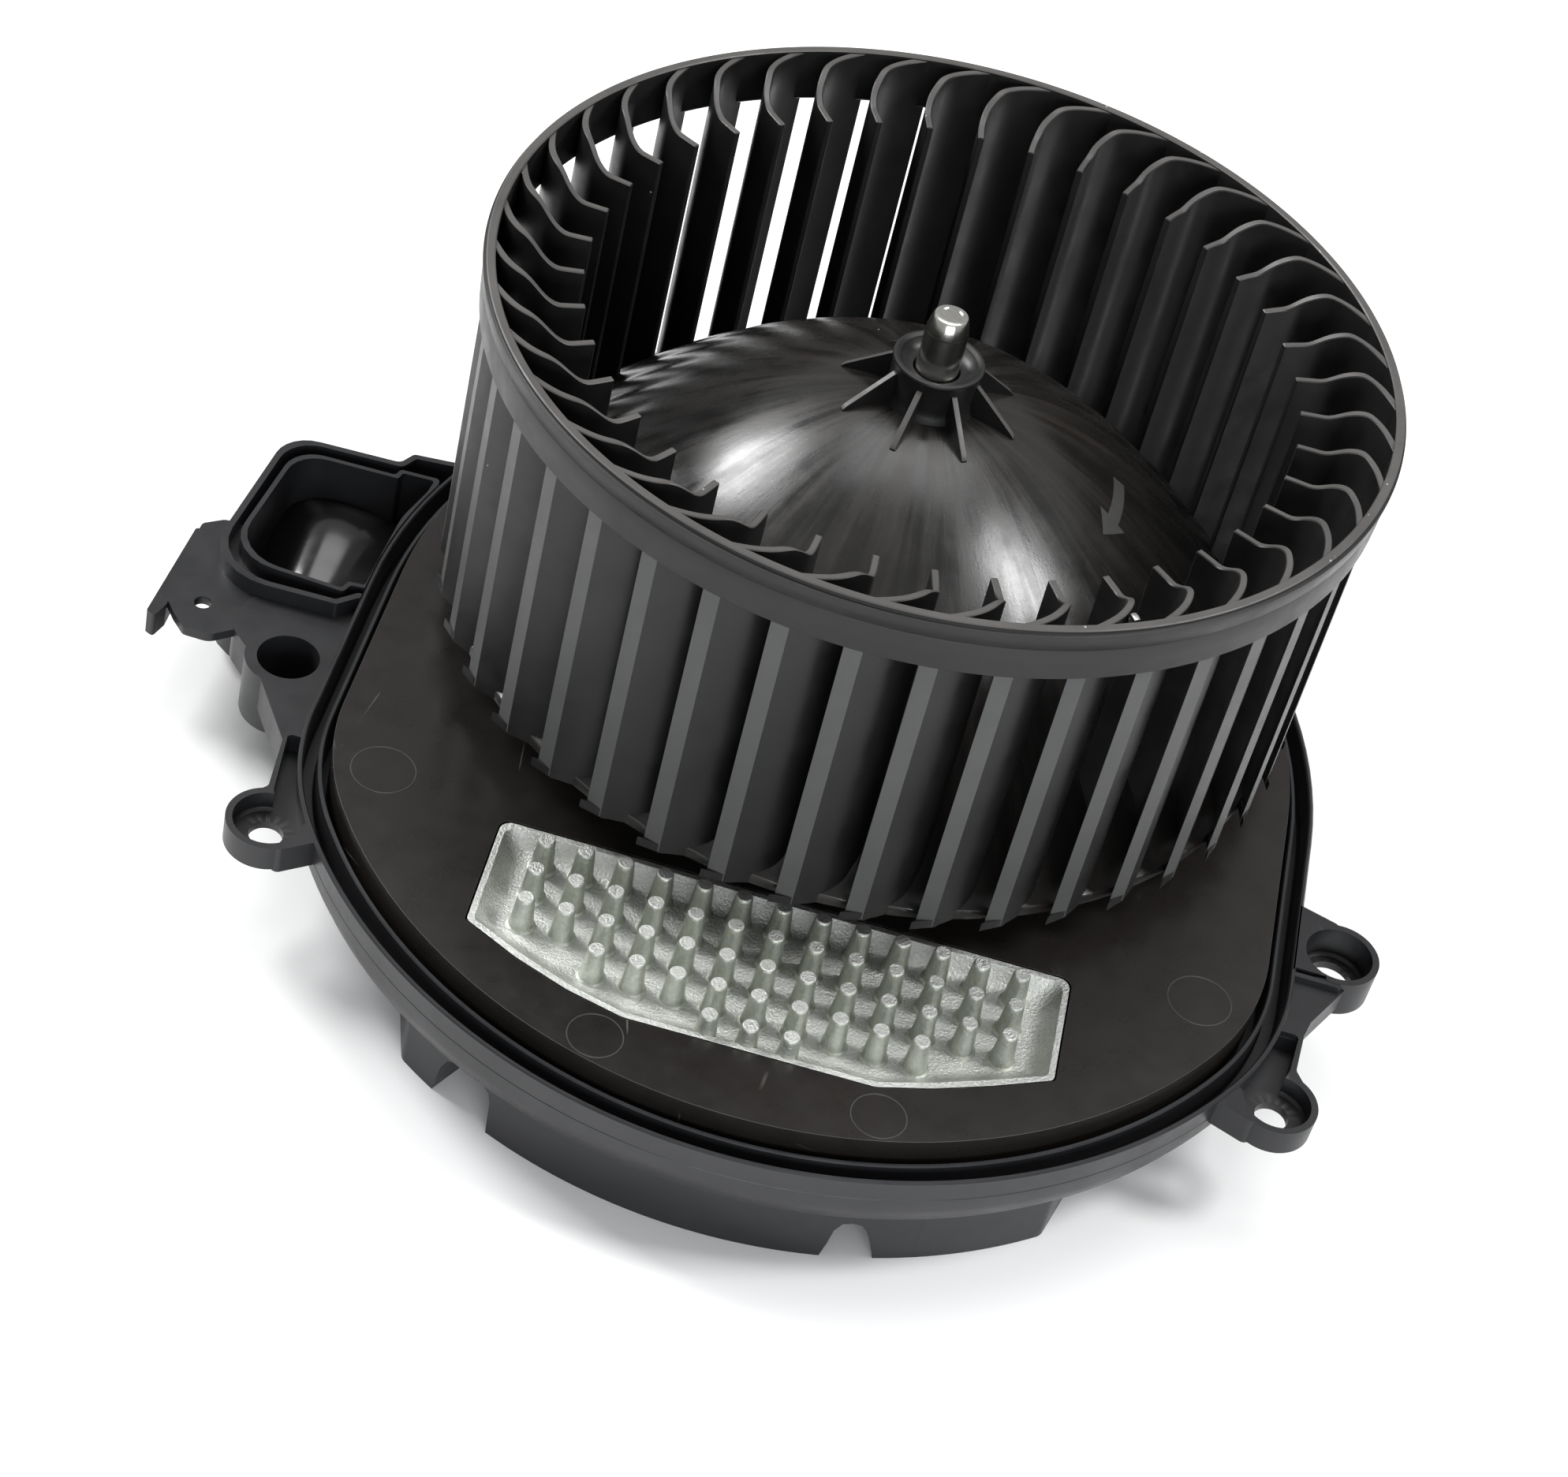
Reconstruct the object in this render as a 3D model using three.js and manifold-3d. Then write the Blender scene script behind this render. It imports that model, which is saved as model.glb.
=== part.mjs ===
// Blower motor wheel: squirrel-cage wheel on an external-rotor motor, with its flange, heat sink and cooling duct.
// Millimetres, +Z up. The motor axis is Z, z = 0 is the face the blower rests on, and the heat sink is towards -Y.
import * as THREE from "three";
import { mergeVertices } from "three/addons/utils/BufferGeometryUtils.js";
import Module from "manifold-3d";

const wasm = await Module();
wasm.setup();

// ---------------------------------------------------------------- driving dimensions
const GAP = 0.3; // air left between pieces that touch on the real blower
const WHEEL_TOP = 100;
const BLADES = 41;
const RIM_R = 76;
const RIM_INNER_R = 73.8;
const BAND_LOW_Z = 90.2;
const BAND_LOW_R = 75.1;
const BLADE_END_R = 74.4; // outer end of a blade, where it meets the band
const BLADE_TIP_R = 59.1;
const BLADE_T = 1.15;
const BLADE_TIP_TOP = 95.6;
const BLADE_LOW = 34;
const BLADE_PHASE = 5.5; // degrees from +X to the tip of the first blade
// How far the blade's centreline lags its tip, in degrees, at each radius
const BLADE_LINE = [[59.1, 0], [63.6, 0.25], [66.5, -0.3], [69.4, -1.9], [72, -4.2], [74.9, -8.2]];

const HUB_R = 8; // where the dome starts
const DOME_TOP = 83;
const DOME_DROP = 45;
const DOME_SPAN = 62;
const DOME_POWER = 1.65;
const DOME_T = 2;
const DOME_JOINT_R = 58.4; // the dome ends here and the cage's foot ring begins
const PLATE_R = 72.6;
const PLATE_LOW = 35;
const BOSS_TOP = 90.5;
const BOSS_R = 7.7;
const RIBS = 8;
const RIB_PHASE = -12;
const RIB_REACH = 15.3;
const RIB_T = 1.1;
const CLIP_ANGLE = -58.2;

const SHAFT_R = 3.6;
const SHAFT_TOP = 99.6;
const SHAFT_LOW = 13.5;

const LIP_Z = 23.5; // top of both lips and of the lugs: the plane that seals against the heater case
const PLATE_Z = 27; // top of the carrier plate
const SKIRT_LOW = 12.3;
const FLANGE = { side: 79, frontR: 84.7, frontY: -28.5, cornerR: 45, cornerX: 34, cornerY: -49, backY: -14, backDepth: 86 };
const LIP_MID = 1.2; // offsets outwards from the carrier plate's edge
const LIP_MID_T = 0.8;
const LIP_OUT = 5.3;
const LIP_OUT_T = 0.9;

const PIN_PITCH_X = 6.55;
const PIN_PITCH_Y = 6.65;
const PIN_ROWS = [13, 13, 13, 9, 3];
const PIN_FIRST_Y = -70.6;
const PIN_TOP = 30.8;
const PIN_TOP_R = 1.6;
const PIN_FOOT_R = 2.15;
const SINK_FLOOR = 24;
const SINK_UNDER = 20.6;

// ---------------------------------------------------------------- materials
const paint = (color, roughness, metalness = 0) => new THREE.MeshStandardMaterial({ color, roughness, metalness });
const blackPlastic = () => paint(0x1b1a1a, 0.5);
const glossPlastic = () => paint(0x141414, 0.3);
const greyPlastic = () => paint(0x2b2c2f, 0.55);
const castMetal = () => paint(0xb9bcb6, 0.45, 0.9);
const steel = () => paint(0xa7a8a6, 0.3, 1);
const copper = () => paint(0xa8612f, 0.4, 0.9);
const boardGreen = () => paint(0x1d5a35, 0.6);
const rubber = () => paint(0x101010, 0.9);

// ---------------------------------------------------------------- helpers
const deg = THREE.MathUtils.degToRad;
const polar = (r, degrees) => [r * Math.cos(deg(degrees)), r * Math.sin(deg(degrees))];

function solid(geometry) {
  const plain = new THREE.BufferGeometry();
  plain.setAttribute("position", geometry.getAttribute("position"));
  if (geometry.index) plain.setIndex(geometry.index);
  const merged = mergeVertices(plain, 1e-4);
  const vertProperties = new Float32Array(merged.attributes.position.array);
  const triVerts = new Uint32Array(merged.index.array);
  return new wasm.Manifold(new wasm.Mesh({ numProp: 3, vertProperties, triVerts }));
}

function geometryOf(manifold) {
  const mesh = manifold.getMesh();
  const geometry = new THREE.BufferGeometry();
  geometry.setAttribute("position", new THREE.BufferAttribute(new Float32Array(mesh.vertProperties), 3));
  geometry.setIndex(new THREE.BufferAttribute(new Uint32Array(mesh.triVerts), 1));
  const flat = geometry.toNonIndexed();
  flat.computeVertexNormals();
  return flat;
}

const join = (first, ...rest) => rest.reduce((sum, s) => sum.add(s), first);
const cut = (first, ...rest) => rest.reduce((left, s) => left.subtract(s), first);

// A solid turned about Z from [radius, z] points listed anticlockwise in the (radius, z) plane.
function turned(points, segments = 32) {
  const lathe = new THREE.LatheGeometry([...points, points[0]].map(([r, z]) => new THREE.Vector2(r, z)), segments);
  return solid(lathe.rotateX(Math.PI / 2));
}

const disc = (r, low, high, segments = 24) => turned([[0, low], [r, low], [r, high], [0, high]], segments);
const ring = (inner, outer, low, high, segments = 32) =>
  turned([[inner, low], [outer, low], [outer, high], [inner, high]], segments);

function at(manifold, x, y, z = 0) {
  return manifold.translate([x, y, z]);
}

// A prism with the plan outline given, from z = low to z = high.
function prism(points, low, high, holes = []) {
  const shape = new THREE.Shape(points.map(([x, y]) => new THREE.Vector2(x, y)));
  holes.forEach((hole) => shape.holes.push(new THREE.Path(hole.map(([x, y]) => new THREE.Vector2(x, y)))));
  const geometry = new THREE.ExtrudeGeometry(shape, { depth: high - low, bevelEnabled: false, curveSegments: 1 });
  return solid(geometry.translate(0, 0, low));
}

const box = (x0, x1, y0, y1, low, high) => prism([[x0, y0], [x1, y0], [x1, y1], [x0, y1]], low, high);

function arc(cx, cy, r, from, to, steps) {
  return Array.from({ length: steps + 1 }, (_, i) => {
    const [x, y] = polar(r, from + ((to - from) * i) / steps);
    return [cx + x, cy + y];
  });
}

// The D-shaped outline of the flange, moved outwards by off. It always has the same number of points.
function flangeOutline(off) {
  const { side, frontR, frontY, cornerR, cornerX, cornerY, backY, backDepth } = FLANGE;
  const turn = THREE.MathUtils.radToDeg(Math.atan2(frontY - cornerY, cornerX));
  const back = Array.from({ length: 19 }, (_, i) => {
    const [c, s] = polar(1, 10 * i);
    return [(side + off) * c, backY + (backDepth + off) * s];
  });
  return [
    ...back,
    ...arc(-cornerX, cornerY, cornerR + off, 180, 180 + turn, 4),
    ...arc(0, frontY, frontR + off, 180 + turn, 360 - turn, 16).slice(1),
    ...arc(cornerX, cornerY, cornerR + off, 360 - turn, 360, 4).slice(1),
  ];
}

// A closed ring along the flange outline with the cross-section given as [offset, z] points, anticlockwise.
function flangeRing(section) {
  const loops = section.map(([off, z]) => flangeOutline(off).map(([x, y]) => [x, y, z]));
  const count = loops[0].length;
  const index = [];
  for (let k = 0; k < loops.length; k++) {
    const next = (k + 1) % loops.length;
    for (let i = 0; i < count; i++) {
      const j = (i + 1) % count;
      index.push(k * count + i, k * count + j, next * count + j);
      index.push(k * count + i, next * count + j, next * count + i);
    }
  }
  const geometry = new THREE.BufferGeometry();
  geometry.setAttribute("position", new THREE.Float32BufferAttribute(loops.flat(2), 3));
  geometry.setIndex(index);
  return solid(geometry);
}

const domeZ = (r) => DOME_TOP - DOME_DROP * Math.max(0, (r - HUB_R) / DOME_SPAN) ** DOME_POWER;
const domeLine = (from, to, steps, drop = 0) =>
  Array.from({ length: steps + 1 }, (_, i) => {
    const r = from + ((to - from) * i) / steps;
    return [r, domeZ(r) - drop];
  });

// ---------------------------------------------------------------- wheel
function bladeOutline() {
  const centre = BLADE_LINE.map(([r, lag]) => new THREE.Vector2(...polar(r, lag)));
  const left = [];
  const right = [];
  centre.forEach((p, i) => {
    const before = centre[Math.max(0, i - 1)];
    const after = centre[Math.min(centre.length - 1, i + 1)];
    const along = after.clone().sub(before).normalize();
    const across = new THREE.Vector2(-along.y, along.x).multiplyScalar(BLADE_T / 2);
    left.push(p.clone().add(across).toArray());
    right.unshift(p.clone().sub(across).toArray());
  });
  return [...right, ...left];
}

function impellerCage() {
  const blade = prism(bladeOutline(), BLADE_LOW, WHEEL_TOP);
  const all = Array.from({ length: BLADES }, (_, i) => blade.rotate([0, 0, BLADE_PHASE - (360 * i) / BLADES]));
  const envelope = turned([
    [DOME_JOINT_R + 0.5, domeZ(DOME_JOINT_R) - 1.8], [66, domeZ(66) - 1.8], [PLATE_R - 0.3, PLATE_LOW + 0.2],
    [PLATE_R - 0.2, BLADE_LOW], [BLADE_END_R, BLADE_LOW], [BLADE_END_R, WHEEL_TOP - 0.5], [70.5, WHEEL_TOP - 0.5],
    [64.2, BLADE_TIP_TOP], [DOME_JOINT_R + 0.5, BLADE_TIP_TOP],
  ], BLADES);
  const blades = wasm.Manifold.union(all).intersect(envelope);
  const foot = turned([
    [DOME_JOINT_R + GAP, domeZ(DOME_JOINT_R) - DOME_T], [66, domeZ(66) - DOME_T], [71.5, PLATE_LOW],
    [PLATE_R, PLATE_LOW], [PLATE_R, PLATE_LOW + 2], [66, domeZ(66)], [DOME_JOINT_R + GAP, domeZ(DOME_JOINT_R)],
  ], BLADES);
  const rim = turned([
    [RIM_INNER_R, BAND_LOW_Z], [BAND_LOW_R, BAND_LOW_Z], [RIM_R, WHEEL_TOP - 0.9], [RIM_R - 0.5, WHEEL_TOP],
    [RIM_INNER_R, WHEEL_TOP],
  ], BLADES);
  return join(blades, foot, rim);
}

function impellerDome() {
  const outer = domeLine(HUB_R, DOME_JOINT_R, 6);
  const inner = domeLine(HUB_R + 1.5, DOME_JOINT_R, 6, DOME_T);
  const shell = turned([
    [SHAFT_R + GAP, 70], [HUB_R + 1.5, 70], ...inner, ...outer.reverse(), [BOSS_R - 0.8, DOME_TOP + 0.4],
    [BOSS_R, BOSS_TOP], [BOSS_R - 1, BOSS_TOP], [SHAFT_R + 1.4, BOSS_TOP - 1.8], [SHAFT_R + GAP, BOSS_TOP - 1.8],
  ], 40);
  const profile = [[5.5, 80], [RIB_REACH, domeZ(RIB_REACH) - 0.5], [RIB_REACH, domeZ(RIB_REACH) + 0.2],
    [BOSS_R, BOSS_TOP - 2.2], [5.5, BOSS_TOP - 2.2]];
  const rib = prism(profile, -RIB_T / 2, RIB_T / 2).rotate([90, 0, 0]);
  const ribs = Array.from({ length: RIBS }, (_, i) => rib.rotate([0, 0, RIB_PHASE + (360 * i) / RIBS]));
  return join(shell, ...ribs);
}

// C-shaped spring clip pushed over the rim's inner edge.
function balanceClip() {
  const clip = cut(box(71.2, 73.2, -0.6, 0.6, 96.5, 99.8), box(71.8, 74, -1, 1, 97.2, 99.1));
  return clip.rotate([0, 0, CLIP_ANGLE]);
}

// ---------------------------------------------------------------- motor
const motorShaft = () => turned([
  [0, SHAFT_LOW], [SHAFT_R - 0.6, SHAFT_LOW], [SHAFT_R, SHAFT_LOW + 0.6], [SHAFT_R, SHAFT_LOW + 2], [3, SHAFT_LOW + 2],
  [3, SHAFT_LOW + 3.2], [SHAFT_R, SHAFT_LOW + 3.2], [SHAFT_R, SHAFT_TOP - 3], [2.9, SHAFT_TOP - 0.6],
  [2.5, SHAFT_TOP], [0, SHAFT_TOP],
], 24);
const retainingRing = () => ring(3 + GAP, 5.2, SHAFT_LOW + 2.1, SHAFT_LOW + 3, 24);
const rotorBell = () => turned([
  [SHAFT_R + GAP, 62], [7.6, 62], [7.6, 64.4], [33, 64.4], [35, 62.4], [35, 38], [36.4, 38], [36.4, 63], [33.6, 66],
  [8, 66], [8, 69], [SHAFT_R + GAP, 69],
]);
const magnetRing = () => ring(32.2, 34.7, 40, 61);

function statorCore() {
  const hub = ring(10, 15, 43, 59, 36);
  const teeth = Array.from({ length: 9 }, (_, i) => {
    const tooth = join(box(14, 29.2, -2.4, 2.4, 43, 59), prism([
      [28.6, -6], [30.4, -7.2], ...arc(0, 0, 31.4, -12, 12, 4), [30.4, 7.2], [28.6, 6],
    ], 43, 59));
    return tooth.rotate([0, 0, 40 * i]);
  });
  return join(hub, ...teeth);
}

function coil(i) {
  const wound = box(16.4, 28, -4.5, 4.5, 40, 62);
  const bore = box(10, 30, -2.4 - GAP, 2.4 + GAP, 43 - GAP, 59 + GAP);
  return cut(wound, bore).rotate([0, 0, 40 * i]);
}

function motorBase() {
  const body = turned([
    [7.6, 14.5], [9.7, 14.5], [9.7, 19], [50, 19], [50, 21.5], [40, 21.5], [38, 33], [34, 33], [36, 23], [13, 23],
    [9.7, 27], [9.7, 61.6], [7.6, 61.6], [7.6, 56], [6.4, 56], [6.4, 23], [7.6, 23],
  ]);
  return cut(body, ...mountPlaces().map(([x, y]) => at(disc(2, 10, 40, 12), x, y)));
}

const mountPlaces = () => [30, 150, 270].map((a) => polar(46, a));
const bearing = (low) => ring(SHAFT_R + GAP, 7.6 - GAP, low, low + 5, 24);
const waveWasher = () => ring(SHAFT_R + 0.6, 6, 22.1, 22.7, 24);
const rubberMount = ([x, y]) => at(ring(2, 4.8, 21.8, 24.2, 16), x, y);
const screw = (x, y, headLow, headHigh, tip, r = 1.7, headR = 3.2) =>
  at(join(disc(headR, headLow, headHigh, 12), disc(r, headLow + 0.2, tip, 12)), x, y);

// ---------------------------------------------------------------- flange
function sinkOutline(off) {
  return [
    [47.5 + off, -65.6 + off], [-47.5 - off, -65.6 + off], [-47.5 - off, -88 - off],
    ...arc(0, -28.5, 74 + off, 234, 254, 4), ...arc(0, -28.5, 74 + off, 286, 306, 4), [47.5 + off, -88 - off],
  ];
}

function carrierPlate() {
  const top = prism(flangeOutline(0), 24.5, PLATE_Z, [arc(0, 0, 44.8, 0, 350, 35), sinkOutline(GAP).reverse()]);
  const wall = flangeRing([[0, 14.8], [0, 25], [-1.8, 25], [-1.8, 14.8]]);
  const well = ring(44, 46, 24.5, PLATE_Z + 1.2, 36);
  const sinkFeet = sinkScrewPlaces().map(([x, y]) => at(disc(3.4, 21.4, 25, 12), x, y));
  const holes = [
    ...mountPlaces().map(([x, y]) => at(disc(2, 20, 30, 12), x, y)),
    ...sinkScrewPlaces().map(([x, y]) => at(disc(1.6, 20, 24.8, 12), x, y)),
  ];
  return cut(join(top, wall, well, ...sinkFeet), ...holes);
}

function lug(x, y, low, holeR, wallR, arm) {
  const cup = join(at(disc(wallR, low, LIP_Z, 20), x, y), prism(arm, low, low + 2.4));
  const hollow = at(disc(wallR - 1.5, low + 2.4, LIP_Z + 1, 20), x, y);
  return cut(cup, hollow, at(disc(holeR, low - 1, LIP_Z, 16), x, y));
}

const lugPlaces = { left: [-82.3, -77.6], front: [82.3, -77.6], right: [91.3, -38.6] };

function housingTray() {
  const section = [
    [LIP_OUT, LIP_Z], [LIP_OUT - LIP_OUT_T, LIP_Z], [LIP_OUT - LIP_OUT_T, 17], [LIP_MID + LIP_MID_T, 17],
    [LIP_MID + LIP_MID_T, LIP_Z], [LIP_MID, LIP_Z], [LIP_MID, 14.5], [-5, 14.5], [-5, SKIRT_LOW], [3.4, SKIRT_LOW], [5, 16.4],
  ];
  const hoop = flangeRing(section);
  const keepOut = join(prism(flangeOutline(2), 0, 16.8), prism(flangeOutline(LIP_OUT - 0.5), 16.6, 40));
  const left = lug(...lugPlaces.left, 16.5, 3, 8, [[-88, -72], [-86, -58.4], [-76, -58.4], [-70, -84], [-80, -85]]);
  const front = lug(...lugPlaces.front, 16.5, 3, 8, [[88, -72], [86, -62], [78, -58], [70, -84], [80, -85]]);
  const right = lug(...lugPlaces.right, 13.5, 4, 8, [[88, -30.8], [80, -28], [80, -58], [96, -45]]);
  const ribWall = box(82, 88, -48, -46, 13.5, 22);
  const lugs = join(left, front, right, ribWall).subtract(keepOut);
  const holes = coverScrewPlaces().map(([x, y]) => at(disc(1.6, 10, 14, 12), x, y));
  return cut(join(hoop, lugs), ...holes);
}

const sinkScrewPlaces = () => [[-52.5, -76], [52.5, -76]];
const coverScrewPlaces = () => [[-75.3, -60], [75.3, -60], [-71.4, 16], [71.4, 16]];

function heatSink() {
  const body = cut(prism(sinkOutline(0), SINK_UNDER, PLATE_Z), prism(sinkOutline(-1.8), SINK_FLOOR, 30));
  const ears = sinkScrewPlaces().map(([x, y]) => {
    const inward = Math.sign(x) * 44;
    return cut(box(Math.min(x + Math.sign(x) * 4, inward), Math.max(x + Math.sign(x) * 4, inward), y - 4, y + 4,
      18.8, 21.1), at(disc(2, 18, 22, 12), x, y));
  });
  const pins = PIN_ROWS.flatMap((count, row) => Array.from({ length: count }, (_, i) => {
    const pin = turned([[0, SINK_FLOOR - 1], [PIN_FOOT_R, SINK_FLOOR - 1], [PIN_TOP_R, PIN_TOP], [0, PIN_TOP]], 8);
    return at(pin, (i - (count - 1) / 2) * PIN_PITCH_X, PIN_FIRST_Y - row * PIN_PITCH_Y);
  }));
  return join(body, ...ears, ...pins);
}

// ---------------------------------------------------------------- cooling duct
const ductOpening = (off) => [
  ...arc(-101.5, 9, 6 + off, 180, 90, 3), [-78 + off, 15 + off], [-84.4 + off, -18.5 - off],
  ...arc(-101.5, -12.5, 6 + off, 270, 180, 3),
].reverse();

function coolingDuct() {
  const keepOut = prism(flangeOutline(LIP_OUT + GAP), -1, 40);
  const outer = prism([
    [-78, 24], [-86.8, 22], [-88.3, 18.6], ...arc(-102.5, 9.4, 8.6, 90, 180, 3), ...arc(-102.5, -14, 8.8, 180, 270, 3),
    [-80, -23.5],
  ], 4, LIP_Z);
  const groove = cut(prism(ductOpening(2.9), 16, 30), prism(ductOpening(0.9), 15, 31));
  const body = prism([
    [-80, -18], [-104, -18], [-102, -37], [-97.5, -46.5], [-91, -52], [-87, -57.6], [-76, -57.6],
  ], 5, 17.5);
  const boss = join(at(disc(8.6, 5, 20.5, 20), -91.4, -37), body);
  const recess = at(disc(5.8, 9.5, 30, 20), -91.4, -37);
  const bracket = prism([
    [-108, -9], [-114.5, -7], [-116.5, -24], [-115, -34], [-106, -35.5], [-101, -31], [-103, -20],
  ], 18.2, 20.2);
  const hook = box(-117.8, -115.6, -33, -12, 14.5, 20.2);
  const hole = at(disc(1.3, 17, 22, 10), -109.5, -28.4);
  const shell = cut(join(outer, boss, cut(join(bracket, hook), hole)), groove, recess, keepOut);
  return cut(shell, prism(ductOpening(0), 7, 30));
}

// ---------------------------------------------------------------- bottom cover
// Outline of the electronics box below the flange: its front follows the skirt, its back wraps round the motor.
const boxOutline = (off) => [
  ...arc(0, FLANGE.frontY, FLANGE.frontR + 0.9 + off, -125, -54, 12),
  [62 + off, -74], [66 + off, -40], [60 + off, 20], [38, 52 + off], [-38, 52 + off], [-60 - off, 20], [-66 - off, -40],
  [-62 - off, -74],
];

// A notch in the front wall, from the outside in, centred at an angle round the front arc.
function notch(angle, width, depth, high) {
  const r = FLANGE.frontR;
  const cutter = box(r - depth, r + 8, -width / 2, width / 2, -1, high);
  return cutter.rotate([0, 0, angle]).translate([0, FLANGE.frontY, 0]);
}

function bottomCover() {
  const sheet = prism(flangeOutline(-0.3), 9.8, 12);
  const room = cut(prism(boxOutline(-2.2), 2.2, 13), notch(-116.2, 7, 14, 11), notch(-74.8, 11, 14, 11));
  const body = cut(join(sheet, prism(boxOutline(0), 0, 10.5)), room);
  const screwHoles = coverScrewPlaces().map(([x, y]) => at(disc(2, -1, 20, 12), x, y));
  return cut(body, notch(-116.2, 3, 12, 9), notch(-74.8, 7, 12, 9), box(12, 34, 34, 46, -1, 4), ...screwHoles);
}

function connectorSocket() {
  const collar = box(10, 36, 32, 48, 2.5, 4);
  const shell = box(12 + GAP, 34 - GAP, 34 + GAP, 46 - GAP, 0.4, 12);
  const cavity = box(14, 32, 36, 44, -1, 10);
  const pins = [0, 1, 2, 3].map((i) => box(15.8 + 4.4 * i, 17 + 4.4 * i, 39, 41, 4, 13.6));
  return join(cut(join(collar, shell), cavity), ...pins);
}

// ---------------------------------------------------------------- controller
function circuitBoard() {
  const outline = [[-58, -52], [-58, -78], ...arc(0, -28.5, 74, 226, 314, 8), [58, -78], [58, -52]];
  return cut(prism(outline.reverse(), 15.2, 16.6), ...sinkScrewPlaces().map(([x, y]) => at(disc(4, 10, 20, 12), x, y)));
}

const powerTransistor = (i) => join(box(-27 + 22 * i, -17 + 22 * i, -84, -72, 17, 20.2),
  box(-25 + 22 * i, -19 + 22 * i, -87, -83, 17, 18));
const capacitor = (x) => turned([[0, 0], [3.4, 0], [3.4, 11], [3, 11.6], [0, 11.6]], 16).rotate([0, 90, 0])
  .translate([x, -57, 20.6]);
const choke = () => at(ring(2.2, 5.4, 17, 22, 20), 0, -58);

// ---------------------------------------------------------------- assembly
const group = new THREE.Group();
group.name = "blower_motor_wheel";

function add(name, manifold, material) {
  const mesh = new THREE.Mesh(geometryOf(manifold), material);
  mesh.name = name;
  group.add(mesh);
}

add("impeller_cage", impellerCage(), blackPlastic());
add("impeller_dome", impellerDome(), glossPlastic());
add("balance_clip", balanceClip(), steel());
add("motor_shaft", motorShaft(), steel());
add("retaining_ring", retainingRing(), steel());
add("rotor_bell", rotorBell(), steel());
add("magnet_ring", magnetRing(), paint(0x3a3a3c, 0.6, 0.4));
add("stator_core", statorCore(), steel());
Array.from({ length: 9 }, (_, i) => add(`stator_coil_${i + 1}`, coil(i), copper()));
add("motor_base", motorBase(), castMetal());
add("bearing_upper", bearing(56 + GAP), steel());
add("bearing_lower", bearing(16.8), steel());
add("wave_washer", waveWasher(), steel());
mountPlaces().forEach((place, i) => {
  add(`rubber_mount_${i + 1}`, rubberMount(place), rubber());
  add(`motor_screw_${i + 1}`, screw(...place, 16, 18.7, 26.4), steel());
});
add("carrier_plate", carrierPlate(), blackPlastic());
add("housing_tray", housingTray(), greyPlastic());
add("cooling_duct", coolingDuct(), greyPlastic());
add("heat_sink", heatSink(), castMetal());
sinkScrewPlaces().forEach(([x, y], i) => add(`sink_screw_${i + 1}`, screw(x, y, 16.6, 18.5, 24, 1.3, 3), steel()));
add("circuit_board", circuitBoard(), boardGreen());
[0, 1, 2].forEach((i) => add(`power_transistor_${i + 1}`, powerTransistor(i), paint(0x1c1c1e, 0.5)));
[-40, 26].forEach((x, i) => add(`capacitor_${i + 1}`, capacitor(x), paint(0x8a8f99, 0.4, 0.6)));
add("choke", choke(), copper());
add("connector_socket", connectorSocket(), blackPlastic());
add("bottom_cover", bottomCover(), greyPlastic());
coverScrewPlaces().forEach(([x, y], i) => add(`cover_screw_${i + 1}`, screw(x, y, 7, 9.1, 13.8, 1.3, 3), steel()));

export default group;
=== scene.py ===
"""Looks of the blower motor wheel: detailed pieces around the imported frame, with floor, lights and camera."""

import math
import random

import bmesh
import bpy
from mathutils import Matrix, Vector


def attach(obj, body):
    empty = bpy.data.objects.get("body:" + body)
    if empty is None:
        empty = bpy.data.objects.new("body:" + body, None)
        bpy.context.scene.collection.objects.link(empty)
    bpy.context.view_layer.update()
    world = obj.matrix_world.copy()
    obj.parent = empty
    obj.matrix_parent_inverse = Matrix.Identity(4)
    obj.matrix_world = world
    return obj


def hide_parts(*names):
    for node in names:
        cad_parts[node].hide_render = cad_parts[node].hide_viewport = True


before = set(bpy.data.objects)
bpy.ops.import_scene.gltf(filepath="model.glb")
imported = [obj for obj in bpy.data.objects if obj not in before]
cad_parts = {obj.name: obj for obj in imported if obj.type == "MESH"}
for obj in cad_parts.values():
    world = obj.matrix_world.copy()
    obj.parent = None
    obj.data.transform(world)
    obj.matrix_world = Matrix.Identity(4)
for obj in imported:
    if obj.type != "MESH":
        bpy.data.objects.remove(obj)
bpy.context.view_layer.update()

MM = 0.001
ROTOR = "rotor"
HOUSING = "housing"

# ---------------------------------------------------------------- dimensions, millimetres
# wheel
BLADES = 41
PITCH = 360.0 / BLADES
BLADE_PHASE = 5.5
BLADE_T = 1.15
BLADE_TIP_R = 59.1
BLADE_END_R = 74.4
# radius, and the degrees by which the blade trails its tip there
BLADE_LINE = [(BLADE_TIP_R, 0.0), (61.4, 0.15), (63.6, 0.2), (66.0, -0.05), (68.0, -0.95), (70.0, -2.15),
              (72.0, -4.2), (74.0, -7.4), (75.6, -10.6)]
BLADE_TIP_TOP = 95.6
BLADE_RISE = 4.0
WHEEL_TOP = 100.0
RIM_LOW = 90.0
FOOT_R = 72.6
FOOT_LOW = 35.0
FOOT_INNER_R = 69.0
FOOT_SLOPE = 0.45
TAIL_T = 1.7
DOME_TOP = 83.0
DOME_DROP = 45.0
DOME_FLAT_R = 8.0
DOME_END_R = 70.0
DOME_CURVE = 1.65
DOME_WALL = 2.0
FLUTE_DEPTH = 0.27
HUB_R = 7.2
HUB_LOW = 80.0
SHAFT_R = 3.6
SHAFT_NECK_R = 3.0
SHAFT_LOW = 13.5
SHAFT_TOP = 99.6
RIBS = 8
RIB_T = 1.0
RIB_TOP = 88.5
ARROW_NECK = -6.8
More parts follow.
